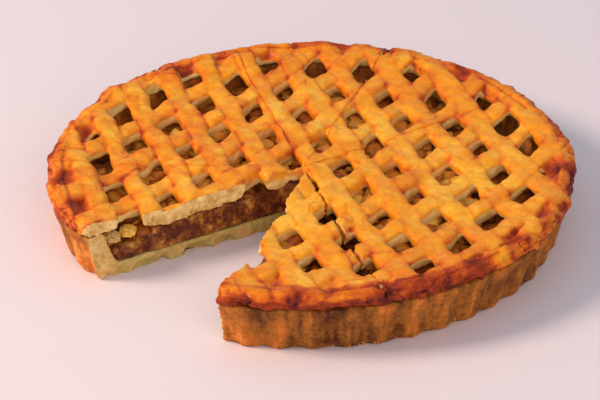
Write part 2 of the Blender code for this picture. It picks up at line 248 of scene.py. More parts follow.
def thinOut(thing, most):  # no more than that many triangles
    count = sum(len(face.vertices) - 2 for face in thing.data.polygons)
    if count > most:
        thinner = thing.modifiers.new("thinner", "DECIMATE")
        thinner.ratio = most / count
        bakeModifiers(thing)
        thing.data.shade_smooth()


def cut(thing, cutter, operation):
    knifeCut = thing.modifiers.new("cut", "BOOLEAN")
    knifeCut.operation = operation
    knifeCut.solver = "MANIFOLD"
    knifeCut.object = cutter
    bakeModifiers(thing)


def drop(thing):
    bpy.data.objects.remove(thing, do_unlink=True)


def copyOf(thing, name):
    return makeObject(name, thing.data.copy())


def joinInto(thing, others):
    mesh = bmesh.new()
    for other in [thing, *others]:
        mesh.from_mesh(other.data)
    mesh.to_mesh(thing.data)
    mesh.free()
    for other in others:
        drop(other)


def keepLargest(thing):  # loose bits that a cut leaves fall away
    mesh = thing.data
    count = len(mesh.vertices)
    edges = np.empty(len(mesh.edges) * 2, np.int32)
    mesh.edges.foreach_get("vertices", edges)
    edges = edges.reshape(-1, 2)
    label = np.arange(count)
    while True:
        low = np.minimum(label[edges[:, 0]], label[edges[:, 1]])
        new = label.copy()
        np.minimum.at(new, edges[:, 0], low)
        np.minimum.at(new, edges[:, 1], low)
        new = new[new]
        if np.array_equal(new, label):
            break
        label = new
    names, sizes = np.unique(label, return_counts=True)
    keep = label == names[np.argmax(sizes)]
    if keep.all():
        return
    work = bmesh.new()
    work.from_mesh(mesh)
    work.verts.ensure_lookup_table()
    gone = [work.verts[index] for index in np.nonzero(~keep)[0]]
    bmesh.ops.delete(work, geom=gone, context="VERTS")
    work.to_mesh(mesh)
    work.free()


def readPoints(mesh):  # places in millimetres and the normals
    places = np.empty(len(mesh.vertices) * 3, np.float32)
    mesh.vertices.foreach_get("co", places)
    normals = np.empty(len(mesh.vertices) * 3, np.float32)
    mesh.vertex_normals.foreach_get("vector", normals)
    return places.reshape(-1, 3).astype(float) / mm, normals.reshape(-1, 3).astype(float)


def writePoints(mesh, points):
    mesh.vertices.foreach_set("co", (points * mm).astype(np.float32).ravel())
    mesh.update()


def insideBox(points):  # moved points stay within the solids' own outline
    return np.clip(points, np.array(cadLow) / mm + (0.05, 0.05, 0.0), np.array(cadHigh) / mm - 0.05)


def setAttribute(mesh, name, values):
    layer = mesh.attributes.get(name) or mesh.attributes.new(name, "FLOAT", "POINT")
    layer.data.foreach_set("value", np.clip(values, 0.0, 1.0).astype(np.float32))


# cuts

def bladeLine(blade):
    way = math.radians(blade["way"])
    along = np.array((math.cos(way), math.sin(way)))
    return along, np.array((-along[1], along[0]))


def flareAt(blade, reach):  # how far a cut bends aside near the wall
    return blade.get("flare", 0.0) * smoothStep(100.0, 124.0, reach)


def gapAt(blade, reach):  # how far left a side stands, from "gap" at its ends to "widest" halfway
    gap = blade.get("gap", 0.0)
    return gap + (blade.get("widest", gap) - gap) * np.sin(math.pi * np.clip(reach / 130.0, 0.0, 1.0))


def bladeSide(blade, reach, height, score):  # how far left of its way a blade's side stands
    fade = smoothStep(5.0, 30.0, reach)
    place = Vector((reach / knife["reach"] * 12.0 * 0.9, height * 0.35, blade["seed"]))
    rough = knife["roughness"] * fade * noise.noise(place)
    scored = score * blade.get("score", 0.0) * smoothStep(6.0, 24.0, reach)
    return flareAt(blade, reach) + gapAt(blade, reach) + rough + scored


def bladePoint(blade, reach, height, score):
    along, left = bladeLine(blade)
    own = reach == 0.0 or blade is blades["sliceLeft"]  # elsewhere a blade runs from the centre
    start = np.array(blade.get("start", knife["centre"]) if own else knife["centre"])
    return start + along * reach + left * bladeSide(blade, reach, height, score)


def besideBlade(name, points):  # how far along a blade's way points are, and how far left of its line
    along, left = bladeLine(blades[name])
    flat = points[:, :2] - np.array(blades[name]["start"] if name == "sliceLeft" else knife["centre"])
    reach = flat @ along
    return reach, flat @ left - flareAt(blades[name], reach), left


def wedge(name, first, second):  # the tall block between two blades, from first leftward to second
    low, high, rise = knife["levels"]
    reaches = np.arange(0.0, knife["reach"] + 0.1, knife["step"])
    turn = (second["way"] - first["way"]) % 360.0
    shares = np.linspace(0.0, 1.0, knife["arcSteps"])[1:-1]
    arc = [math.radians(first["way"] + turn * share) for share in shares]
    rings = []
    for height in np.arange(low, high + 0.1, rise):
        outline = [bladePoint(first, reach, height, 1.0) for reach in reaches]
        outline += [np.array((math.cos(a), math.sin(a))) * knife["outside"] * knife["reach"] for a in arc]
        outline += [bladePoint(second, reach, height, -1.0) for reach in reaches[:0:-1]]
        rings.append(np.array([(x, y, height) for x, y in outline]))
    block = ringSolid(name, rings)
    work = bmesh.new()
    work.from_mesh(block.data)
    bmesh.ops.triangulate(work, faces=[f for f in work.faces if len(f.verts) > 4])
    bmesh.ops.recalc_face_normals(work, faces=work.faces)
    work.to_mesh(block.data)
    work.free()
    return block


def cutFace(points, normals, names):  # 1 on the faces that these blades left
    found = np.zeros(len(points))
    near = knife["near"]
    for name in names:
        if "score" in blades[name]:  # scored before baking, so as brown as the rest
            continue
        reach, aside, left = besideBlade(name, points)
        away = np.abs(aside - gapAt(blades[name], reach))
        facing = np.abs(normals[:, :2] @ left)
        mask = (1.0 - smoothStep(near, near + 0.8, away)) * smoothStep(0.35, 0.6, facing)
        if name in ("openingRight", "sliceRight"):  # the slice still joins the tart at the wall
            mask *= 1.0 - smoothStep(112.0, 119.0, reach)
        found = np.maximum(found, np.where(reach > -2.0, mask, 0.0))
    return found


# materials

def linearColour(code):  # sRGB hex to what a shader socket takes
    parts = [int(code[i:i + 2], 16) / 255.0 for i in (1, 3, 5)]
    return tuple(c / 12.92 if c < 0.04045 else ((c + 0.055) / 1.055) ** 2.4 for c in parts) + (1.0,)


def setStops(ramp, stops):  # a colour ramp's places and colours
    elements = ramp.color_ramp.elements
    while len(elements) < len(stops):
        elements.new(0.5)
    for element, (place, code) in zip(elements, stops):
        element.position = place
        element.color = linearColour(code)


def outputOf(source):  # a node stands for the first output that it has in use
    if isinstance(source, bpy.types.Node):
        return next(output for output in source.outputs if output.enabled)
    return source


def addNode(tree, kind, inputs=None, stops=None, **settings):  # one node with all that it takes
    node = tree.nodes.new(kind)
    for name, value in settings.items():
        setattr(node, name, value)
    for socket, value in (inputs or {}).items():
        value = outputOf(value)
        if isinstance(value, bpy.types.NodeSocket):
            tree.links.new(value, node.inputs[socket])
        else:
            node.inputs[socket].default_value = value
    if stops:
        setStops(node, stops)
    return node


def newMaterial(name, base):  # with what adds its nodes, its shader and the place on the object
    material = bpy.data.materials.new(name)
    material.use_nodes = True
    tree = material.node_tree
    shader = tree.nodes["Principled BSDF"]
    for socket, value in {"Metallic": 0.0, **base}.items():
        shader.inputs[socket].default_value = value
    add = partial(addNode, tree)
    return material, add, shader, add("ShaderNodeTexCoord").outputs["Object"]


def mottle(add, where, tone, size, detail, rough, low, high):  # lumps that lighten and darken a tone
    field = add("ShaderNodeTexNoise", {
        "Vector": where, "Scale": 1.0 / (size * mm), "Detail": detail, "Roughness": rough})
    swing = add("ShaderNodeMapRange", {
        "Value": field, "From Min": 0.3, "From Max": 0.7, "To Min": low, "To Max": high})
    return field, add("ShaderNodeMath", {0: tone, 1: swing}, operation="ADD")


def dress(add, shader, looks, height, strength, depth):  # what the shader takes, and its fine relief
    bump = add("ShaderNodeBump", {"Height": height, "Strength": strength, "Distance": depth * mm})
    for socket, source in {**looks, "Normal": bump}.items():
        shader.id_data.links.new(outputOf(source), shader.inputs[socket])


# Egg-washed shortcrust: a glossy golden top that browns to red at ridges and cracks, pale matt sides
glazedDough = {
    "side": [(0.3, "#D2AA54"), (0.7, "#F6D88C")],
    "crumb": [(0.38, "#CC9646"), (0.6, "#FFDC92")],
    "top": [(0.0, "#FAB634"), (0.14, "#F09A18"), (0.3, "#E67E0A"), (0.46, "#D05E08"), (0.62, "#A83A08"),
            (0.8, "#6A1C08"), (1.0, "#2E1008")],
    "patch": 7.0,  # size of the lighter and browner patches
    "grain": 1.6,
    "grainDepth": 0.26,
}


def eggWashedShortcrust():
    look = glazedDough
    material, add, shader, where = newMaterial("eggWashedShortcrust", {
        "IOR": 1.45, "Specular IOR Level": 0.22, "Coat Weight": 0.1, "Coat Roughness": 0.15})
    # the glaze attribute is the egg wash, and also painted light on strip sides turned to the key lamp
    painted = [add("ShaderNodeAttribute", attribute_name=name) for name in ("bake", "glazeAndLitSide", "cut")]
    bake, glazeAndLitSide, cutHere = (node.outputs["Fac"] for node in painted)
    patch, toned = mottle(add, where, bake, look["patch"], 4.0, 0.6, -0.07, 0.1)
    speck, toned = mottle(add, where, toned, look["grain"], 3.0, 0.65, -0.06, 0.06)
    mixed = add("ShaderNodeMix", {0: 0.35, 2: patch, 3: speck})
    top = add("ShaderNodeValToRGB", {"Fac": toned}, look["top"])
    side = add("ShaderNodeValToRGB", {"Fac": patch}, look["side"])
    crumb = add("ShaderNodeValToRGB", {"Fac": mixed}, look["crumb"])
    dough = add("ShaderNodeMix", {0: glazeAndLitSide, 6: side, 7: top}, data_type="RGBA")
    whole = add("ShaderNodeMix", {0: cutHere, 6: dough, 7: crumb}, data_type="RGBA")
    matt = add("ShaderNodeMath", {0: glazeAndLitSide, 1: toned}, operation="SUBTRACT")
    shine = add("ShaderNodeMapRange", {"Value": matt, "To Min": 0.8, "To Max": 0.38})
    dress(add, shader, {"Base Color": whole, "Roughness": shine}, speck, 0.6, look["grainDepth"])
    return material


# Baked shortcrust wall: dry and matt with fine pits, tan where it met the tin, pale inside a cut
wallDough = {
    "wall": [(0.0, "#E89C46"), (0.24, "#D07026"), (0.45, "#A4621E"), (0.62, "#804812"), (0.8, "#5C2A0A"),
             (1.0, "#3A1405")],
    "crumb": [(0.34, "#A48440"), (0.5, "#D6AC62"), (0.66, "#F2CC8A")],
    "stainAndShade": "#B8A45A",  # where the syrup soaked in, with painted shade over the whole cut face of the base
    "patch": 9.0,
    "grain": 1.9,
    "grainDepth": 0.4,
}


def bakedShortcrust():
    look = wallDough
    material, add, shader, where = newMaterial("bakedShortcrust", {
        "IOR": 1.45, "Specular IOR Level": 0.3, "Roughness": 0.78})
    painted = [add("ShaderNodeAttribute", attribute_name=name) for name in ("bake", "cut", "stainAndShade")]
    bake, cutHere, soakedAndShaded = (node.outputs["Fac"] for node in painted)
    patch, toned = mottle(add, where, bake, look["patch"], 5.0, 0.65, -0.1, 0.1)
    speck, toned = mottle(add, where, toned, look["grain"], 3.0, 0.7, -0.15, 0.12)
    mixed = add("ShaderNodeMix", {0: 0.4, 2: patch, 3: speck})
    wall = add("ShaderNodeValToRGB", {"Fac": toned}, look["wall"])
    crumb = add("ShaderNodeValToRGB", {"Fac": mixed}, look["crumb"])
    stainAndShade = linearColour(look["stainAndShade"])
    inside = add("ShaderNodeMix", {0: soakedAndShaded, 6: crumb, 7: stainAndShade}, data_type="RGBA")
    whole = add("ShaderNodeMix", {0: cutHere, 6: wall, 7: inside}, data_type="RGBA")
    dress(add, shader, {"Base Color": whole}, speck, 0.8, look["grainDepth"])
    return material


# Apples stewed in brown syrup: dark, wet and uneven, with paler threads of apple
stewedApple = {
    "syrup": [(0.34, "#3E160A"), (0.46, "#642A10"), (0.56, "#985820"), (0.67, "#D0983E")],
    "patch": 7.5,
    "grain": 2.0,
    "grainDepth": 0.4,
}


def applesInSyrup():
    look = stewedApple
    material, add, shader, where = newMaterial("applesInSyrup", {
        "IOR": 1.4, "Specular IOR Level": 0.35, "Roughness": 0.5})
    patch = add("ShaderNodeTexNoise", {
        "Vector": where, "Scale": 1.0 / (look["patch"] * mm), "Detail": 6.0, "Roughness": 0.72,
        "Distortion": 0.1})
    syrup = add("ShaderNodeValToRGB", {"Fac": patch}, look["syrup"])
    speck = add("ShaderNodeTexNoise", {
        "Vector": where, "Scale": 1.0 / (look["grain"] * mm), "Detail": 3.0, "Roughness": 0.6})
    dress(add, shader, {"Base Color": syrup}, speck, 0.7, look["grainDepth"])
    return material


# Cooked apple flesh: soft, wet, yellow to brown from piece to piece
appleFlesh = {
    "tones": [(0.0, "#964810"), (0.25, "#BA6A1C"), (0.5, "#D48A2C"), (0.8, "#E4A640"), (1.0, "#F6C454")],
    "fibre": 2.2,
    "fibreDepth": 0.3,
}


def cookedApple():
    look = appleFlesh
    material, add, shader, where = newMaterial("cookedApple", {"IOR": 1.4, "Roughness": 0.38})
    tone = add("ShaderNodeAttribute", attribute_name="tone").outputs["Fac"]
    fibre, toned = mottle(add, where, tone, look["fibre"], 4.0, 0.6, -0.18, 0.18)
    flesh = add("ShaderNodeValToRGB", {"Fac": toned}, look["tones"])
    dress(add, shader, {"Base Color": flesh}, fibre, 0.5, look["fibreDepth"])
    return material


finishes = {
    "glazed": eggWashedShortcrust(),
    "wall": bakedShortcrust(),
    "syrup": applesInSyrup(),
    "apple": cookedApple(),
}
print("materials made")


def finishPiece(thing, finish, slot, *nodes):  # last step for every piece
    mesh = thing.data
    mesh.materials.clear()
    mesh.materials.append(finishes[finish])
    mesh.shade_smooth()
    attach(thing, "root")
    if nodes:
        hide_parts(*nodes)
    print(thing.name, sum(len(face.vertices) - 2 for face in mesh.polygons), "triangles")


wedges = {
    "opening": wedge("openingWedge", blades["openingLeft"], blades["openingRight"]),
    "slice": wedge("sliceWedge", blades["sliceLeft"], blades["sliceRight"]),
}


def inTwo(whole, name, node, size, relief, finish, slot):  # a layer's main part, and the slice's
    slicePiece = copyOf(whole, name + "Slice")
    cut(slicePiece, wedges["slice"], "INTERSECT")
    cut(whole, wedges["opening"], "DIFFERENCE")
    whole.name = name + "Main"
    for thing, faces, part in ((whole, ("openingLeft", "openingRight"), "_main"),
                               (slicePiece, ("sliceLeft", "sliceRight"), "_slice")):
        keepLargest(thing)
        remesh(thing, size["voxel"])
        relief(thing, faces)
        thinOut(thing, size["most"])
        finishPiece(thing, finish, slot, node + part)
    return whole, slicePiece


# crust shell: base and fluted wall

shellSize = {
    "segments": 1440,
    "voxel": 1.0,
    "most": 186000,
    "broad": 0.5,  # depth of broad unevenness, then of the pits
    "pits": 0.42,
    "crumble": 0.8,  # depth of crumbs on a cut face
    "chip": 4.2,  # how far crumbs are gone from the foot of a cut, and up to what height
    "chipHeight": 6.5,
    "wallFrom": (124.0, 128.0),  # radii where the wall's outer skin begins, and where the inside ends
    "insideTo": (118.0, 124.0),
    "soakedAndShadedTo": (112.0, 118.0),
    # painted light and shade on stretches of wall: middle and spread in degrees, and how much browner.
    # Below 0 paints a stretch lighter where the key light falls on it, above 0 browner where it is in
    # shade
    "paintedLightAndShade": ((273.0, 17.0, 0.17), (220.0, 18.0, -0.28), (318.0, 25.0, 0.08), (251.0, 6.0, -0.12)),
}


def crustShell():
    size = shellSize
    angles = turnsOf(size["segments"])
    seam = seamAt(angles)
    base = tart["baseThickness"]

    rings = [ringAt(angles, wallRadius(angles, 0.0) - 1.2, 0.0)]
    for share in np.linspace(0.04, 1.0, 14):
        rings.append(ringAt(angles, wallRadius(angles, seam * share), seam * share))
    for share in np.linspace(1.0, 0.2, 8):
        height = base + (seam - base) * share
        rings.append(ringAt(angles, innerRadius(angles, height), height))
    rings.append(ringAt(angles, innerRadius(angles, base + 1.0) - 0.6, base + 0.8))
    rings.append(ringAt(angles, innerRadius(angles, base) - 2.0, base))
    return ringSolid("crustShell", rings)


def crustRelief(thing, faces):  # uneven baked skin, chipped foot and crumbly cuts
    size = shellSize
    mesh = thing.data
    points, normals = readPoints(mesh)
    soft = partial(softNoise, points)
    lumpy = partial(lumps, points)
    angle, radius = turnAndRadius(points)
    height = points[:, 2]
    cutMask = cutFace(points, normals, faces)
    outer = smoothStep(*size["wallFrom"], radius) * (1.0 - cutMask)
    broad = lumpy(13.0, 1) * size["broad"] + lumpy(3.6, 4, 2) * 0.24
    pits = -np.clip(soft(2.0, 9) - 0.25, 0.0, 1.0) * size["pits"] * 3.0
    crumble = lumpy(3.6, 6, 3) * size["crumble"]
    foot = 1.0 - smoothStep(0.0, 5.0, height)
    flat = smoothStep(0.3, 1.0, height)  # the underside stays flat to rest on
    gone = 0.9 * foot * np.clip(lumps(points, 7.0, 15, 2), 0.0, 1.0)
    swell = 1.4 * smoothStep(17.0, 27.0, height) * (1.0 - smoothStep(0.3, 0.8, normals[:, 2]))
    push = outer * (broad + pits - gone + swell) + cutMask * crumble
    moved = points + normals * (push * flat)[:, None]
    moved += chippedFoot(points, faces)
    writePoints(mesh, insideBox(moved))

    streak = np.column_stack((angle * 60.0, height / 9.0, np.zeros(len(points))))
    groove = 0.5 - 0.5 * np.cos(tart["flutes"] * angle)
    bake = 0.42 + 0.14 * lumpy(18.0, 21, 2) + 0.14 * softNoise(streak, 1.0, 23)
    # browner in the flute valleys and paler on the crests: partly painted shade in the hollows, partly
    # crests rubbed paler
    bake += 0.18 * (groove - 0.5) * outer + 0.2 * foot * soft(5.0, 25)
    bake += smoothStep(17.0, 28.0, height) * (0.1 - 0.2 * bumpAt(angle, 310.0, 25.0))
    # painted light and shade: each stretch made lighter or browner by how the lamps fall on it
    for middle, spread, amount in size["paintedLightAndShade"]:
        bake += amount * bumpAt(angle, middle, spread)
    soakedAndShaded = smoothStep(5.6, 8.4, height + 2.8 * lumpy(6.0, 27, 3))
    # painted shade: the base's whole cut face gets this olive stain colour, beyond the syrup soaked in
    # near its top
    soakedAndShaded = np.maximum(soakedAndShaded, 0.5 + 0.7 * lumpy(4.0, 28, 3))
    # the stain and the painted shade end at these radii
    soakedAndShaded *= 1.0 - smoothStep(*size["soakedAndShadedTo"], radius)
    setAttribute(mesh, "bake", bake)
    setAttribute(mesh, "stainAndShade", np.clip(0.85 * soakedAndShaded, 0.0, 0.9))
    setAttribute(mesh, "cut", np.maximum(cutMask, 1.0 - smoothStep(*size["insideTo"], radius)))


def chippedFoot(points, faces):  # crumbs gone from the lower edge of each cut
    size = shellSize
    shift = np.zeros_like(points)
    uneven = 0.45 + lumps(points * np.array((1.0, 1.0, 0.0)), 9.0, 29, 3)
    for name in faces:
        reach, aside, left = besideBlade(name, points)
        inward = -left if name in ("openingLeft", "sliceRight") else left
        near = 1.0 - smoothStep(0.0, 9.0, np.abs(aside))
        near *= 1.0 - smoothStep(0.0, size["chipHeight"], points[:, 2])
        near *= smoothStep(4.0, 16.0, reach) * (1.0 - smoothStep(116.0, 126.0, reach))
        amount = np.clip(uneven, 0.0, 1.3) * size["chip"]
        shift[:, :2] += (amount * near)[:, None] * inward
    return shift


shellMain, shellSlice = inTwo(crustShell(), "crustShell", "shell", shellSize, crustRelief,
                              "wall", "crust")
print("crust done")


# filling: a dark layer of stewed apple with cubes of apple on top

fillingSize = {
    "middle": 22.4,
    "edge": 19.0,
    "bump": 2.1,
    "highest": 22.8,  # the strips lie just above
    "rim": 117.0,
    "segments": 360,
    "voxel": 1.2,
    "most": 186000,
    "fall": (70.0, 116.0),  # where it sinks from its middle height to that at the edge
    "lump": 11.0,
    "hollow": (207.0, 8.0),  # a sunken place beside the long cut: middle and spread in degrees
    "hollowStart": 96.0,
    "hollowDepth": 2.2,
}


def fillingTop(angle, radius):
    size = fillingSize
    place = Vector((radius * math.cos(angle), radius * math.sin(angle), 0.0)) / size["lump"]
    lumpy = 0.6 * noise.noise(place) + 0.4 * noise.noise(place * 2.1 + Vector((7.0, 1.0, 0.0)))
    level = size["middle"] + (size["edge"] - size["middle"]) * float(smoothStep(*size["fall"], radius))
    start = size["hollowStart"]
    hollow = float(bumpAt(angle, *size["hollow"]) * smoothStep(start - 6.0, start, radius))
    level += size["bump"] * lumpy * (1.0 - hollow)
    return min(level, size["highest"]) - size["hollowDepth"] * hollow


def appleLayer():
    size = fillingSize
    angles = turnsOf(size["segments"])
    bottom = tart["baseThickness"] + tart["gap"]

    rings = [ringAt(angles, innerRadius(angles, tart["baseThickness"]) - 2.6, bottom),
             ringAt(angles, innerRadius(angles, bottom + 2.0) - 2.0 * tart["gap"], bottom + 2.0)]
    rim = size["rim"]
    edge = np.array([fillingTop(a, rim) for a in angles])
    rings.append(ringAt(angles, innerRadius(angles, edge - 2.0) - 2.0 * tart["gap"], edge - 2.0))
    for radius in np.linspace(rim, 2.0, 48):
        heights = np.array([fillingTop(a, radius) for a in angles])
        rings.append(ringAt(angles, np.full(len(angles), radius), heights))
    return ringSolid("appleLayer", rings)


def fillingRelief(thing, faces):  # lumps of apple in the cut, and a rough top
    mesh = thing.data
    points, normals = readPoints(mesh)
    cutMask = cutFace(points, normals, faces)
    push = lumps(points, 5.0, 31, 3) * 0.5 * (0.6 + 1.2 * cutMask)
    push -= cutMask * 0.5
    writePoints(mesh, points + normals * push[:, None])


fillingMain, fillingSlice = inTwo(appleLayer(), "appleFilling", "filling", fillingSize, fillingRelief,
                                  "syrup", "filling")
print("filling done")


def newTree(name, sockets):  # a node tree with these named inputs, and what adds its nodes
    tree = bpy.data.node_groups.new(name, "GeometryNodeTree")
    tree.interface.new_socket("Geometry", in_out="OUTPUT", socket_type="NodeSocketGeometry")
    for kind, labels in sockets.items():
        for label in labels:
            tree.interface.new_socket(label, in_out="INPUT", socket_type="NodeSocket" + kind)
    add = partial(addNode, tree)
    return tree, add, add("NodeGroupInput").outputs


def growTree(thing, tree, values):  # a plain mesh from a tree with these inputs
    grow = thing.modifiers.new("grow", "NODES")
    grow.node_group = tree
    sockets = {item.name: item.identifier for item in tree.interface.items_tree
               if item.item_type == "SOCKET" and item.in_out == "INPUT"}
    for label, value in values.items():
        grow[sockets[label]] = value
    bakeModifiers(thing)
    return thing


# cubes of apple that stand out of the syrup and show through the lattice

cubeSize = {
    "size": (9.6, 8.2, 6.0),
    "lift": -0.5,
    "apart": 5.6,
    "density": 60000.0,  # to the square metre
    "scale": (0.55, 1.15),
    "tilt": 0.45,
    "rough": 2.2,  # depth and size of the lumps in their skin
    "lump": 5.0,
    "roundness": 0.42,
    "seed": 4,
    "cells": 5,
    "clear": 6.5,  # how far they keep from a cut
}


def scatterTree(name):  # rough little blocks, strewn over a surface where "allowed" is 1
    tree, add, given = newTree(name, {
        "Geometry": ("Geometry",),
        "Vector": ("Size", "Lift"),
        "Float": ("Apart", "Density", "Smallest", "Largest", "Tilt", "Roughness", "Lump Scale",
                  "Roundness"),
        "Int": ("Seed", "Cells"),
        "Material": ("Finish",),
    })
    allowed = add("GeometryNodeInputNamedAttribute", {"Name": "allowed"}, data_type="FLOAT")
    spots = add("GeometryNodeDistributePointsOnFaces", {
        "Mesh": given["Geometry"], "Distance Min": given["Apart"], "Density Max": given["Density"],
        "Density Factor": allowed, "Seed": given["Seed"]}, distribute_method="POISSON")
    lifted = add("GeometryNodeSetPosition", {"Geometry": spots, "Offset": given["Lift"]})
    cells = {"Vertices " + axis: given["Cells"] for axis in "XYZ"}
    cube = add("GeometryNodeMeshCube", {"Size": (2.0, 2.0, 2.0), **cells})
    here = add("GeometryNodeInputPosition")
    ball = add("ShaderNodeVectorMath", {0: here}, operation="NORMALIZE")
    ball = add("ShaderNodeVectorMath", {0: ball, "Scale": 1.28}, operation="SCALE")
    softened = add("ShaderNodeMix", {0: given["Roundness"], 4: here, 5: ball}, data_type="VECTOR")
    rounded = add("GeometryNodeSetPosition", {"Geometry": cube, "Position": softened})
    sized = add("GeometryNodeTransform", {"Geometry": rounded, "Scale": given["Size"]})
    lean = add("ShaderNodeMath", {0: given["Tilt"], 1: -1.0}, operation="MULTIPLY")
    least = add("ShaderNodeCombineXYZ", {"X": lean, "Y": lean, "Z": 0.0})
    mostTurn = add("ShaderNodeCombineXYZ", {"X": given["Tilt"], "Y": given["Tilt"], "Z": 6.283})
    turned = add("FunctionNodeRandomValue", {"Min": least, "Max": mostTurn, "Seed": 5},
                 data_type="FLOAT_VECTOR")
    grown = add("FunctionNodeRandomValue", {2: given["Smallest"], 3: given["Largest"], "Seed": 6},
                data_type="FLOAT")
    placed = add("GeometryNodeInstanceOnPoints", {
        "Points": lifted, "Instance": sized, "Rotation": turned, "Scale": grown})
    tone = add("FunctionNodeRandomValue", {2: 0.0, 3: 1.0, "Seed": 7}, data_type="FLOAT")
    toned = add("GeometryNodeStoreNamedAttribute", {
        "Geometry": placed, "Name": "tone", "Value": tone}, data_type="FLOAT", domain="INSTANCE")
    real = add("GeometryNodeRealizeInstances", {"Geometry": toned})
    lumpy = add("ShaderNodeTexNoise", {"Vector": here, "Scale": given["Lump Scale"], "Detail": 2.0})
    centred = add("ShaderNodeMath", {0: lumpy, 1: 0.5}, operation="SUBTRACT")
    depth = add("ShaderNodeMath", {0: centred, 1: given["Roughness"]}, operation="MULTIPLY")
    outward = add("GeometryNodeInputNormal")
    push = add("ShaderNodeVectorMath", {0: outward, "Scale": depth}, operation="SCALE")
    rough = add("GeometryNodeSetPosition", {"Geometry": real, "Offset": push})
    dressed = add("GeometryNodeSetMaterial", {"Geometry": rough, "Material": given["Finish"]})
    add("NodeGroupOutput", {"Geometry": dressed})
    return tree


def strew(bed, allowed, tree, size, finish):  # blocks of these sizes where the surface allows them
    setAttribute(bed.data, "allowed", allowed)
    growTree(bed, tree, {
        "Size": [v * 0.5 * mm for v in size["size"]],
        "Lift": (0.0, 0.0, size["lift"] * mm),
        "Apart": size["apart"] * mm,
        "Density": size["density"],
        "Smallest": size["scale"][0],
        "Largest": size["scale"][1],
        "Tilt": size["tilt"],
        "Roughness": size["rough"] * mm,
        "Lump Scale": 1.0 / (size["lump"] * mm),
        "Roundness": size["roundness"],
        "Seed": size["seed"],
        "Cells": size["cells"],
        "Finish": finishes[finish],
    })


def awayFromCuts(points, clear):  # 1 where a point keeps clear of the cuts that bound its piece
    away = np.full(len(points), 1e3)
    for name in ("openingLeft", "openingRight", "sliceLeft"):
        reach, aside, _ = besideBlade(name, points)
        away = np.minimum(away, np.where(reach > -clear, np.abs(aside), 1e3))
    return (away > clear).astype(float)


def appleCubes(filling, name, tree):
    bed = copyOf(filling, name)
    points, normals = readPoints(bed.data)
    radius = turnAndRadius(points)[1]
    top = (normals[:, 2] > 0.5) & (points[:, 2] > 15.0) & (radius < fillingSize["rim"])
    strew(bed, awayFromCuts(points, cubeSize["clear"]) * top, tree, cubeSize, "apple")
    return bed


strewn = scatterTree("strewnBlocks")
for filling, part in ((fillingMain, "Main"), (fillingSlice, "Slice")):
    cubes = appleCubes(filling, "appleCubes" + part, strewn)
    finishPiece(cubes, "apple", "apple", "filling_" + part.lower())


# crumbs that cling to the foot of the wall

crumbSize = {
    "size": (1.1, 0.9, 0.7),
    "lift": 0.0,
    "apart": 1.5,
    "density": 80000.0,
    "scale": (0.5, 1.3),
    "tilt": 1.5,
    "rough": 0.4,
    "lump": 0.8,
    "roundness": 0.5,
    "seed": 9,
    "cells": 3,
    "height": 5.0,
}


def clingingCrumbs(shell, name, tree):
    size = crumbSize
    bed = copyOf(shell, name)
    points, normals = readPoints(bed.data)
    angle, radius = turnAndRadius(points)
    low = (points[:, 2] > 0.9) & (radius > 124.0) & (normals[:, 2] < 0.5)
    fade = 1.0 - smoothStep(0.3 * size["height"], size["height"], points[:, 2])
    dense = 0.25 + 0.75 * bumpAt(angle, 283.0, 30.0)
    dense *= smoothStep(-0.2, 0.5, softNoise(points, 12.0, 87))
    strew(bed, low * fade * dense, tree, size, "wall")
    points, normals = readPoints(bed.data)
    writePoints(bed.data, insideBox(points))
    setAttribute(bed.data, "bake", 0.1 + 0.25 * softNoise(points, 4.0, 88))
    setAttribute(bed.data, "cut", np.zeros(len(points)))
    return bed


for shell, part in ((shellMain, "Main"), (shellSlice, "Slice")):
    finishPiece(clingingCrumbs(shell, "crumbs" + part, strewn), "wall", "crumb")


# the two loose bits beside the wall at the first cut

looseBits = {
    "brokenPastryScrap": {"node": "pastry_scrap", "turn": 0.1, "seed": 71, "depth": 0.5, "voxel": 0.25},
    "looseAppleChunk": {"node": "apple_chunk", "turn": -0.15, "seed": 81, "depth": 0.35, "voxel": 0.25},
}


def looseBit(name):  # a rounded block in its solid's box, roughened
    size = looseBits[name]
    low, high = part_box(size["node"])
    work = bmesh.new()
    bmesh.ops.create_cube(work, size=1.0)
    bmesh.ops.bevel(work, geom=work.edges[:], offset=0.2, segments=3, affect="EDGES")
    shrunk = 0.86  # leaves room for the roughness
    thing = placeForm(name, work, (low + high) / 2.0, size["turn"], (high - low) * shrunk)
    remesh(thing, size["voxel"])
    points, normals = readPoints(thing.data)
    push = lumps(points, 3.2, size["seed"], 3) * size["depth"]
    writePoints(thing.data, points + normals * push[:, None])
    return thing, readPoints(thing.data)[0]


scrap, points = looseBit("brokenPastryScrap")
setAttribute(scrap.data, "cut", np.ones(len(points)))
setAttribute(scrap.data, "bake", np.full(len(points), 0.3))
finishPiece(scrap, "wall", "crumb", "pastry_scrap")
chunk, points = looseBit("looseAppleChunk")
setAttribute(chunk.data, "tone", 0.92 + 0.1 * softNoise(points, 4.0, 83))
finishPiece(chunk, "apple", "apple", "apple_chunk")
print("apples and loose bits done")


# lattice: two ways of strips, one lying over the other, with their ends pressed on the wall

latticeSize = {
    "origin": (6.7, 29.5, 0.0),
    "along": (10.0, -28.5, 0.0),
    "across": (17.4, 23.5, 0.0),
    "fan": 0.3,
    "width": 12.8,
    "endRadius": 134.0,
    "overTop": 33.0,
    "underTop": 32.8,
    "topRise": 2.9,
    "overBottom": 24.2,
    "underBottom": 23.4,
    "bottomAtRim": 28.9,
    "rows": 15,
    "stations": 145,
    "firstVoxel": 1.2,
    "front": (268.0, 18.0),  # where the rim is pressed wider and lower: middle and spread in degrees
    "rounding": 2.5,
    "widthChange": 0.95,  # how much a strip's width changes along it, and over what length
    "changeLength": 24.0,
    "easing": 6,  # passes that soften the corners where strips cross
    "voxel": 0.8,
    "most": 186000,
}


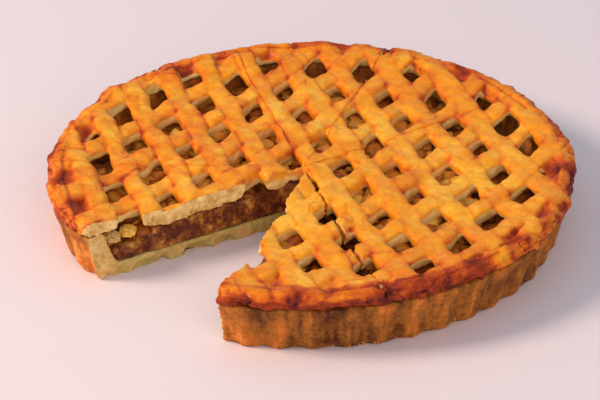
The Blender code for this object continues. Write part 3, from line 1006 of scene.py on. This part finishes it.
def stripTree():  # curves that follow the lattice rule, with a rounded band swept along them
    tree, add, given = newTree("latticeStrips", {
        "Vector": ("Origin", "Run Step", "Row Step"),
        "Float": ("Fan X Cross", "Fan X Row", "Fan X Run", "Fan Y", "Base Width", "Top Width", "Height",
                  "Middle Height", "End Radius", "Rounding", "Width Change", "Change Scale"),
        "Int": ("Rows", "Stations"),
        "Material": ("Finish",),
    })
    spare = add("ShaderNodeMath", {0: given["Rows"], 1: 1.0}, operation="SUBTRACT")
    grid = add("GeometryNodeMeshGrid", {
        "Size X": 18.0, "Size Y": spare, "Vertices X": given["Stations"], "Vertices Y": given["Rows"]})
    ends = add("GeometryNodeInputMeshEdgeVertices").outputs
    span = add("ShaderNodeVectorMath", {0: ends["Position 1"], 1: ends["Position 2"]},
               operation="SUBTRACT")
    rise = add("ShaderNodeSeparateXYZ", {0: span}).outputs["Y"]
    sideways = add("FunctionNodeCompare", {0: rise, 1: 0.0, "Epsilon": 0.01},
                   data_type="FLOAT", operation="NOT_EQUAL")
    lines = add("GeometryNodeDeleteGeometry", {"Geometry": grid, "Selection": sideways},
                domain="EDGE", mode="EDGE_FACE")
    here = add("GeometryNodeInputPosition")
    run, aside, _ = add("ShaderNodeSeparateXYZ", {0: here}).outputs
    row = add("ShaderNodeMath", {0: aside, 1: 0.5}, operation="ADD")
    runWay = add("ShaderNodeVectorMath", {0: given["Run Step"], "Scale": run}, operation="SCALE")
    rowWay = add("ShaderNodeVectorMath", {0: given["Row Step"], "Scale": row}, operation="SCALE")
    cross, runSquare, rowSquare = (add("ShaderNodeMath", {0: first, 1: second}, operation="MULTIPLY")
                                   for first, second in ((run, row), (run, run), (row, row)))
    squares = add("ShaderNodeMath", {0: runSquare, 1: rowSquare}, operation="ADD")
    fanX = add("ShaderNodeMath", {0: cross, 1: given["Fan X Cross"]}, operation="MULTIPLY")
    for square, label in ((rowSquare, "Fan X Row"), (runSquare, "Fan X Run")):
        fanX = add("ShaderNodeMath", {0: square, 1: given[label], 2: fanX}, operation="MULTIPLY_ADD")
    fanY = add("ShaderNodeMath", {0: squares, 1: given["Fan Y"]}, operation="MULTIPLY")
    fan = add("ShaderNodeCombineXYZ", {"X": fanX, "Y": fanY, "Z": given["Middle Height"]})
    place = runWay
    for part in (rowWay, given["Origin"], fan):
        place = add("ShaderNodeVectorMath", {0: place, 1: part}, operation="ADD")
    laid = add("GeometryNodeSetPosition", {"Geometry": lines, "Position": place})
    flat = add("ShaderNodeCombineXYZ", {"X": run, "Y": aside})
    reach = add("ShaderNodeVectorMath", {0: flat}, operation="LENGTH").outputs["Value"]
    outside = add("FunctionNodeCompare", {0: reach, 1: given["End Radius"]},
                  data_type="FLOAT", operation="GREATER_THAN")
    inside = add("GeometryNodeDeleteGeometry", {"Geometry": laid, "Selection": outside},
                 domain="POINT", mode="ALL")
    curves = add("GeometryNodeMeshToCurve", {"Mesh": inside})
    section = add("GeometryNodeCurvePrimitiveQuadrilateral", {
        "Bottom Width": given["Base Width"], "Top Width": given["Top Width"], "Height": given["Height"],
        "Offset": 0.0}, mode="TRAPEZOID")
    rounded = add("GeometryNodeFilletCurve", {
        "Curve": section, "Count": 5, "Radius": given["Rounding"]}, mode="POLY")
    upright = add("GeometryNodeSetCurveNormal", {"Curve": curves}, mode="Z_UP")
    change = add("ShaderNodeTexNoise", {"Scale": given["Change Scale"], "Detail": 1.0})
    spread = add("ShaderNodeMath", {0: change, 1: 0.5}, operation="SUBTRACT")
    broad = add("ShaderNodeMath", {0: spread, 1: given["Width Change"], 2: 1.0}, operation="MULTIPLY_ADD")
    bands = add("GeometryNodeCurveToMesh", {
        "Curve": upright, "Profile Curve": rounded, "Scale": broad, "Fill Caps": True})
    real = add("GeometryNodeRealizeInstances", {"Geometry": bands})
    dressed = add("GeometryNodeSetMaterial", {"Geometry": real, "Material": given["Finish"]})
    add("NodeGroupOutput", {"Geometry": dressed})
    return tree


def strips(name, tree, over):
    size = latticeSize
    fan = size["fan"] * mm
    top = size["overTop"] if over else size["underTop"]
    bottom = size["overBottom"] if over else size["underBottom"]
    runStep = size["along"] if over else size["across"]
    rowStep = size["across"] if over else size["along"]
    thing = growTree(makeObject(name, bpy.data.meshes.new(name)), tree, {
        "Origin": [v * mm for v in size["origin"]],
        "Run Step": [v * mm for v in runStep],
        "Row Step": [v * mm for v in rowStep],
        "Fan X Cross": 0.8 * fan,
        "Fan X Row": -0.6 * fan if over else 0.0,
        "Fan X Run": 0.0 if over else -0.6 * fan,
        "Fan Y": fan,
        "Base Width": 1.12 * size["width"] * mm,
        "Top Width": 0.72 * size["width"] * mm,
        "Width Change": size["widthChange"],
        "Change Scale": 1.0 / (size["changeLength"] * mm),
        "Height": (top - bottom) * mm,
        "Middle Height": 0.5 * (top + bottom) * mm,
        "End Radius": size["endRadius"] * mm,
        "Rounding": size["rounding"] * mm,
        "Rows": size["rows"],
        "Stations": size["stations"],
        "Finish": finishes["glazed"],
    })
    points = readPoints(thing.data)[0]
    angle, radius = turnAndRadius(points)
    share = (points[:, 2] - bottom) / (top - bottom)
    floor = bottom + (size["bottomAtRim"] - bottom) * smoothStep(98.0, 123.0, radius)
    roof = top + size["topRise"] * smoothStep(104.0, 130.0, radius)  # the strips climb to the rim
    roof -= 1.2 * smoothStep(130.0, 135.0, radius)
    roof -= 2.4 * bumpAt(angle, *size["front"]) * smoothStep(116.0, 126.0, radius)
    flat = points * np.array((1.0, 1.0, 0.0))
    merged = smoothStep(-70.0, 60.0, points[:, 0])  # the two ways lie nearly level on the right
    roof = roof + 0.9 * softNoise(flat, 16.0, 41 + over) + (0.3 - 0.6 * merged if over else 0.0)
    points[:, 2] = floor + (roof - floor) * share
    for axis, seed in ((0, 91), (1, 95)):
        bend = 1.6 * softNoise(flat, 24.0, seed + over)
        points[:, axis] += bend + 0.9 * softNoise(flat, 9.0, seed + 2 + over)
    writePoints(thing.data, points)
    return thing


def rimCollar():  # the outer ring of the sheet, folded over the wall and pressed down
    angles = turnsOf(720)
    profile = [(-16.0, 0.0), (-8.0, 0.0), (-2.2, 0.0), (-1.0, 0.8), (-0.2, 1.8), (0.1, 3.0), (-0.5, 4.6),
               (-2.0, 6.3), (-4.4, 7.6), (-7.5, 8.2), (-10.5, 7.6), (-14.2, 5.8), (-16.6, 3.2)]
    wider = 13.0 * bumpAt(angles, *latticeSize["front"])  # the slice's last holes are pressed shut
    rings = []
    for order, (reach, lift) in enumerate(profile):
        crag = 1.0 if 2 <= order <= 9 else 0.4
        out = np.array([wobble(a, 17.0, lift * 0.35 + 1.0) for a in angles]) * crag
        up = np.array([wobble(a, 13.0, lift * 0.4 + 40.0) for a in angles]) * 0.9 * crag * (lift > 1.0)
        radius = tart["topRadius"] + reach + shiftAt(angles) + out - wider * (reach < -13.0)
        height = np.minimum(seamAt(angles) + tart["gap"] + lift + up, tart["rimHeight"])
        rings.append(ringAt(angles, radius, height))
    return ringSolid("latticeSheet", rings, closedLoop=True)


# where dough runs together between strips: middle, reach each way, and turn in degrees
doughWebs = {
    "latticeSlice": ((-3.3, -16.5, 28.9), (9.0, 14.0, 3.9), 0.0),
    "latticeLeft": ((-71.5, -39.0, 26.4), (19.0, 6.5, 4.4), 30.0),
}


def doughWeb(name):
    middle, reach, turn = doughWebs[name]
    work = bmesh.new()
    bmesh.ops.create_uvsphere(work, u_segments=48, v_segments=24, radius=1.0)
    return placeForm(name + "Web", work, Vector(middle) * mm, math.radians(turn), Vector(reach) * mm)


def latticePlace(points):  # the nearest hole's middle, and how far both ways of strips are
    size = latticeSize
    origin, along, across = (np.array(size[k][:2]) for k in ("origin", "along", "across"))
    turnBack = np.linalg.inv(np.column_stack((along, across)))
    flat = points[:, :2]

    def fanAt(m, n):
        return size["fan"] * np.column_stack((0.8 * m * n - 0.6 * n * n, m * m + n * n))

    m = np.zeros(len(flat))
    n = np.zeros(len(flat))
    for _ in range(4):  # the fan depends on the place, so it takes a few rounds
        m, n = turnBack @ (flat - origin - fanAt(m, n)).T
    crossed = abs(along[0] * across[1] - along[1] * across[0])
    toUnder = np.abs(m - np.floor(m) - 0.5) * crossed / np.linalg.norm(across)
    toOver = np.abs(n - np.floor(n) - 0.5) * crossed / np.linalg.norm(along)
    m = np.round(m)
    n = np.round(n)
    middle = origin + m[:, None] * along + n[:, None] * across + fanAt(m, n)
    return middle, toOver, toUnder


# where the rim is browned or split: way in degrees, radius, height, how long, wide and high the mark is,
# how brown and how deep
rimMarks = [
    (302.0, 137.5, 29.5, 5.5, 3.0, 1.8, 0.75, 2.4),
    (309.0, 130.0, 34.5, 9.0, 1.0, 4.0, 0.40, 1.5),
    (313.5, 135.0, 34.0, 12.0, 0.8, 4.0, 0.34, 1.3),
    (318.5, 131.0, 35.0, 6.0, 1.2, 5.0, 0.36, 1.2),
    (325.0, 128.0, 35.0, 8.0, 1.6, 5.0, 0.30, 1.0),
    (331.0, 137.0, 33.0, 5.0, 2.0, 4.0, 0.32, 0.8),
    (341.0, 139.0, 33.0, 6.0, 2.0, 4.0, 0.36, 0.6),
    (352.0, 139.0, 33.0, 16.0, 3.0, 4.0, 0.40, 0.3),
    (267.6, 137.5, 33.5, 7.0, 5.0, 2.5, 0.55, 0.2),
    (256.0, 140.0, 33.0, 5.0, 4.0, 2.5, 0.30, 0.2),
    (280.6, 137.0, 31.5, 8.0, 4.0, 1.2, 0.45, 1.2),
    (187.5, 136.0, 34.0, 7.0, 5.0, 4.0, 0.45, 0.6),
    (148.5, 138.0, 34.0, 5.0, 4.0, 4.0, 0.45, 0.9),
    (128.2, 138.0, 35.0, 4.0, 4.0, 4.0, 0.50, 1.4),
    (71.8, 134.0, 36.0, 3.0, 7.0, 4.0, 0.30, 1.4),
    (61.4, 121.0, 33.0, 5.0, 5.0, 6.0, 0.50, 0.4),
    (171.5, 130.0, 34.0, 1.0, 14.0, 6.0, 0.50, 2.4),
]


def marksAt(points, angle, radius):  # how browned and how deep those marks are at each point
    brown = np.zeros(len(points))
    deep = np.zeros(len(points))
    for order, (way, middle, height, long, wide, high, brownest, deepest) in enumerate(rimMarks):
        turn = (np.degrees(angle) - way + 180.0) % 360.0 - 180.0
        along = np.radians(turn) * middle
        near = np.nonzero(np.abs(along) < 3.0 * long)[0]
        spot = points[near]
        uneven = 2.0 * softNoise(spot, 6.0, 101 + order)
        spread = ((along[near] + uneven * min(1.0, long / 4.0)) / long) ** 2
        spread += ((radius[near] - middle + uneven * 0.5) / wide) ** 2
        spread += ((spot[:, 2] - height + uneven * 0.3) / high) ** 2
        ragged = 0.5 * lumps(spot, 4.5, 121 + order, 3) * np.exp(-spread / 3.0)
        weight = smoothStep(0.3, 0.85, np.exp(-spread) + ragged)
        brown[near] = np.maximum(brown[near], weight * brownest)
        deep[near] = np.maximum(deep[near], weight * deepest)
    return brown, deep


def scoreLine(points, names):  # 1 along the lines scored before baking
    found = np.zeros(len(points))
    for name in names:
        if "score" in blades[name]:
            reach, aside, _ = besideBlade(name, points)
            found = np.maximum(found, np.exp(-(aside / 1.1) ** 2) * (reach > 8.0))
    return found


# what shows on the dough: how deep it goes, and how much browner it is
doughMarks = {
    "crack": (1.1, 0.3),
    "crease": (0.4, 0.2),
    "wrinkle": (0.25, 0.18),
    "fold": (0.9, 0.2),
    "layer": (0.55, 0.2),
}


def doughRelief(thing, faces):  # puffed strips, creases where they cross, a cracked and layered rim
    mesh = thing.data
    points, normals = readPoints(mesh)
    soft = partial(softNoise, points)
    lumpy = partial(lumps, points)
    x, y, z = points.T
    angle, radius = turnAndRadius(points)
    cutMask = cutFace(points, normals, faces)
    middle, toOver, toUnder = latticePlace(points)
    half = latticeSize["width"] / 2.0
    upward = smoothStep(0.2, 0.7, normals[:, 2])
    edge = radius - tart["topRadius"] - shiftAt(angle)
    rim = smoothStep(-11.0, -3.0, edge)
    outer = smoothStep(-5.0, -1.0, edge)
    round135 = angle * 135.0
    band = np.column_stack((round135 / 12.0, z / 2.1, radius / 2.6))
    markBrown, markDeep = marksAt(points, angle, radius)
    deep = {name: values[0] for name, values in doughMarks.items()}
    brown = {name: values[1] for name, values in doughMarks.items()}

    # where each of them is
    ledges = softNoise(band, 1.0, 51) + 0.5 * softNoise(band * 2.1, 1.0, 52)
    crackField = softNoise(np.column_stack((round135 / 15.0, z / 4.0, radius / 4.0)), 1.0, 57)
    crackField += 0.3 * soft(4.0, 56)
    crack = np.exp(-(crackField / 0.07) ** 2) * rim * smoothStep(-0.3, 0.4, soft(22.0, 58))
    layer = np.exp(-(ledges / 0.15) ** 2) * smoothStep(-0.35, 0.25, soft(11.0, 64))
    fold = np.exp(-((edge + 9.5 + 1.4 * soft(9.0, 53)) / 1.1) ** 2) * upward
    fold *= smoothStep(-0.25, 0.25, soft(15.0, 54))
    front = bumpAt(angle, 270.0, 26.0)
    right = bumpAt(angle, 320.0, 40.0)
    border = smoothStep(-11.0, -7.0, edge + 5.5 * front + 2.2 * soft(8.0, 62))
    scored = scoreLine(points, faces)
    above = smoothStep(-0.25, 0.25, soft(19.0, 55) + 0.35)  # which way lies on top
    merged = smoothStep(-50.0, 40.0, x)  # the strips run into each other on the right
    crease = np.exp(-((toOver - half) / 0.9) ** 2) * (toUnder < half + 0.8) * above
    crease += np.exp(-((toUnder - half) / 0.9) ** 2) * (toOver < half + 0.8) * (1.0 - above)
    crease *= upward * smoothStep(-0.5, 0.1, soft(13.0, 50)) * (1.0 - 0.6 * merged)
    cellRadius = np.hypot(middle[:, 0], middle[:, 1])
    inCell = smoothStep(half - 1.0, half + 2.6, np.minimum(toOver, toUnder))
    pressed = inCell * smoothStep(112.0, 122.0, cellRadius)  # the outer holes, shut under the rim
    pressed *= upward * (1.0 - smoothStep(-7.0, -3.5, edge))
    wrinkle = np.exp(-(soft(10.0, 60) / 0.05) ** 2) * upward
    wrinkle *= smoothStep(0.0, 0.4, soft(24.0, 61))

    # the shape
    push = lumpy(12.0, 43, 3) * 0.5 + lumpy(5.0, 47, 2) * 0.27
    push += rim * 0.55 * lumpy(8.0, 49, 2)
    push += 0.13 * lumpy(2.4, 44, 2)
    push += outer * (0.9 * ledges - deep["layer"] * layer + 0.4 * lumpy(2.8, 48, 2))
    push -= deep["crack"] * crack + deep["crease"] * crease + 1.7 * pressed
    push -= deep["wrinkle"] * wrinkle + deep["fold"] * fold + markDeep
    push *= 1.0 - 0.7 * cutMask
    push += cutMask * lumpy(3.4, 45, 3) * 0.8
    moved = points + normals * push[:, None]
    lowerEdge = outer * (1.0 - smoothStep(27.5, 31.0, z))
    sag = lumps(np.column_stack((round135, z * 0.0, z * 0.0)), 7.0, 59, 3)
    moved[:, 2] -= lowerEdge * 2.4 * sag
    writePoints(mesh, insideBox(moved))

    # how brown, and where the egg wash and the cuts are
    low = np.clip(-ledges, 0.0, 1.0)
    face = outer * (1.0 - smoothStep(0.3, 0.75, normals[:, 2]))
    patch = lumpy(30.0, 63, 2)
    across = np.minimum(toOver, np.where(toOver > half, toUnder, half)) / half
    corner = np.exp(-((toOver - half) / 2.2) ** 2 - ((toUnder - half) / 2.2) ** 2)
    corner *= smoothStep(-0.1, 0.4, soft(14.0, 66))
    tip = smoothStep(18.0, 30.0, np.hypot(x + 3.3, y + 14.0))
    bake = 0.1 + 0.11 * patch + (0.1 - 0.05 * merged) * lumpy(6.0, 65, 2)
    # browner towards the strips' edges, partly from baking and partly painted shade for their rounded
    # form; browner at the hole corners
    bake += tip * (0.12 * across ** 2 + 0.24 * corner)
    bake += border * (0.04 + 0.38 * front + 0.1 * patch + 0.06 * low)
    bake += 0.07 * smoothStep(50.0, 115.0, radius) * (1.0 - front)
    bake += outer * (0.04 + 0.26 * bumpAt(angle, 254.0, 7.0) - 0.08 * right)
    bake += outer * (0.08 * low + brown["layer"] * layer + 0.08 * patch)
    bake += brown["crack"] * crack + brown["crease"] * crease + 0.85 * markBrown
    bake += brown["wrinkle"] * wrinkle + brown["fold"] * fold
    bake += face * (0.12 + 0.14 * bumpAt(angle, 272.0, 30.0)) + 0.12 * scored
    bake += pressed * (0.12 + 0.14 * patch + 0.14 * bumpAt(angle, 185.0, 30.0)) * (1.0 - 0.6 * front)
    bake = np.where(bake > 0.62, 0.62 + (bake - 0.62) * 0.4, bake)
    # egg wash on the tops, and painted light: sides turned towards the key lamp (towards -x) count as
    # glazed further down, sides turned away stay pale
    washedAndLit = normals[:, 2] - np.where(normals[:, 0] < 0.0, 0.75, 0.25) * normals[:, 0]
    glazeAndLitSide = smoothStep(-0.15, 0.45, washedAndLit + 0.18 * soft(7.0, 67))
    brushedAndLit = z + 1.2 * soft(5.0, 69) - 5.0 * np.minimum(normals[:, 0], 0.0)
    glazeAndLitSide *= smoothStep(26.5, 29.5, brushedAndLit)  # the egg wash ends unevenly down the strips' sides, and reaches lower on sides turned to the key lamp as painted light
    glazeAndLitSide = np.maximum(glazeAndLitSide, smoothStep(-9.0, -5.0, edge))
    narrow = cutFace(points, normals, [name for name in faces if name in ("openingRight", "sliceRight")])
    golden = smoothStep(27.5, 30.0, z + 1.2 * soft(5.0, 68))
    golden *= 1.0 - smoothStep(30.0, 52.0, radius)
    setAttribute(mesh, "bake", bake)
    setAttribute(mesh, "glazeAndLitSide", np.maximum(glazeAndLitSide, np.maximum(narrow, golden)))
    tint = cutMask * (1.0 - 0.6 * narrow) * (1.0 - 0.85 * golden)
    setAttribute(mesh, "cut", tint * smoothStep(0.75, 0.35, normals[:, 2]))


def latticeSheet():
    tree = stripTree()
    sheet = rimCollar()
    joinInto(sheet, [strips("overStrips", tree, True), strips("underStrips", tree, False)])
    remesh(sheet, latticeSize["firstVoxel"])
    ease = sheet.modifiers.new("ease", "SMOOTH")
    ease.factor = 0.5
    ease.iterations = latticeSize["easing"]
    bakeModifiers(sheet)
    return sheet


sectors = [
    ("latticeRight", "openingRight", "scoreRight", "lattice_main"),
    ("latticeBackRight", "scoreRight", "scoreBack", "lattice_main"),
    ("latticeBack", "scoreBack", "scoreMiddle", "lattice_main"),
    ("latticeBackLeft", "scoreMiddle", "scoreLeft", "lattice_main"),
    ("latticeLeft", "scoreLeft", "openingLeft", "lattice_main"),
    ("latticeSlice", "sliceLeft", "sliceRight", "lattice_slice"),
]

sheet = latticeSheet()
print("lattice sheet joined", len(sheet.data.polygons))
for name, first, second, node in sectors:
    piece = copyOf(sheet, name)
    if name in doughWebs:
        joinInto(piece, [doughWeb(name)])
        remesh(piece, latticeSize["voxel"])
    block = wedge(name + "Wedge", blades[first], blades[second])
    cut(piece, block, "INTERSECT")
    drop(block)
    keepLargest(piece)
    remesh(piece, latticeSize["voxel"])
    doughRelief(piece, (first, second))
    thinOut(piece, latticeSize["most"])
    finishPiece(piece, "glazed", "lattice", node)
drop(sheet)
for block in wedges.values():
    drop(block)
print("lattice done")


# camera, at the photo's viewing angle

view = {
    "lens": 240.0,
    "elevation": 29.924,
    "roll": -0.627,
    "distance": 2.15745,  # metres
    "aim": (-0.00602, 0.02099, 0.0),
}


def placeCamera():
    tilt = math.radians(view["elevation"])
    roll = math.radians(view["roll"])
    back = Vector((0.0, -math.cos(tilt), math.sin(tilt)))
    right = Vector((1.0, 0.0, 0.0))
    up = right.cross(-back)
    turnedRight = right * math.cos(roll) + up * math.sin(roll)
    turnedUp = -right * math.sin(roll) + up * math.cos(roll)
    data = bpy.data.cameras.new("camera")
    data.lens = view["lens"]
    data.sensor_width = 36.0
    camera = makeObject("camera", data)
    place = Matrix((turnedRight, turnedUp, back)).transposed().to_4x4()
    place.translation = Vector(view["aim"]) + back * view["distance"]
    camera.matrix_world = place
    scene.camera = camera


lights = {
    "key": {"place": (-1.82, -0.22, 1.4), "size": 0.8, "power": 46.0, "colour": "#FFEAD8"},
    "fill": {"place": (0.5, -1.9, 1.1), "size": 1.8, "power": 18.0, "colour": "#FFEDDC"},
}


def softLights():
    for name, light in lights.items():
        data = bpy.data.lights.new(name, "AREA")
        data.shape = "DISK"
        data.size = light["size"]
        data.energy = light["power"]
        data.color = linearColour(light["colour"])[:3]
        lamp = makeObject(name, data)
        lamp.location = light["place"]
        lamp.rotation_euler = (-Vector(light["place"])).to_track_quat("-Z", "Y").to_euler()
    world = bpy.data.worlds.new("paleRoom")
    world.use_nodes = True
    sky = world.node_tree.nodes["Background"]
    sky.inputs["Color"].default_value = linearColour("#D3E3F8")
    sky.inputs["Strength"].default_value = 0.59
    scene.world = world


def paleFloor():
    half = 6000.0
    corners = [(-half, -half, 0.0), (half, -half, 0.0), (half, half, 0.0), (-half, half, 0.0)]
    floor = makeMesh("floor", corners, [(0, 1, 2, 3)])
    material = bpy.data.materials.new("paleFloor")
    material.use_nodes = True
    shader = material.node_tree.nodes["Principled BSDF"]
    shader.inputs["Base Color"].default_value = linearColour("#EADADA")
    shader.inputs["Roughness"].default_value = 0.6
    floor.data.materials.append(material)


placeCamera()
softLights()
paleFloor()
scene.view_settings.view_transform = "Standard"
print("camera, lights and floor set")
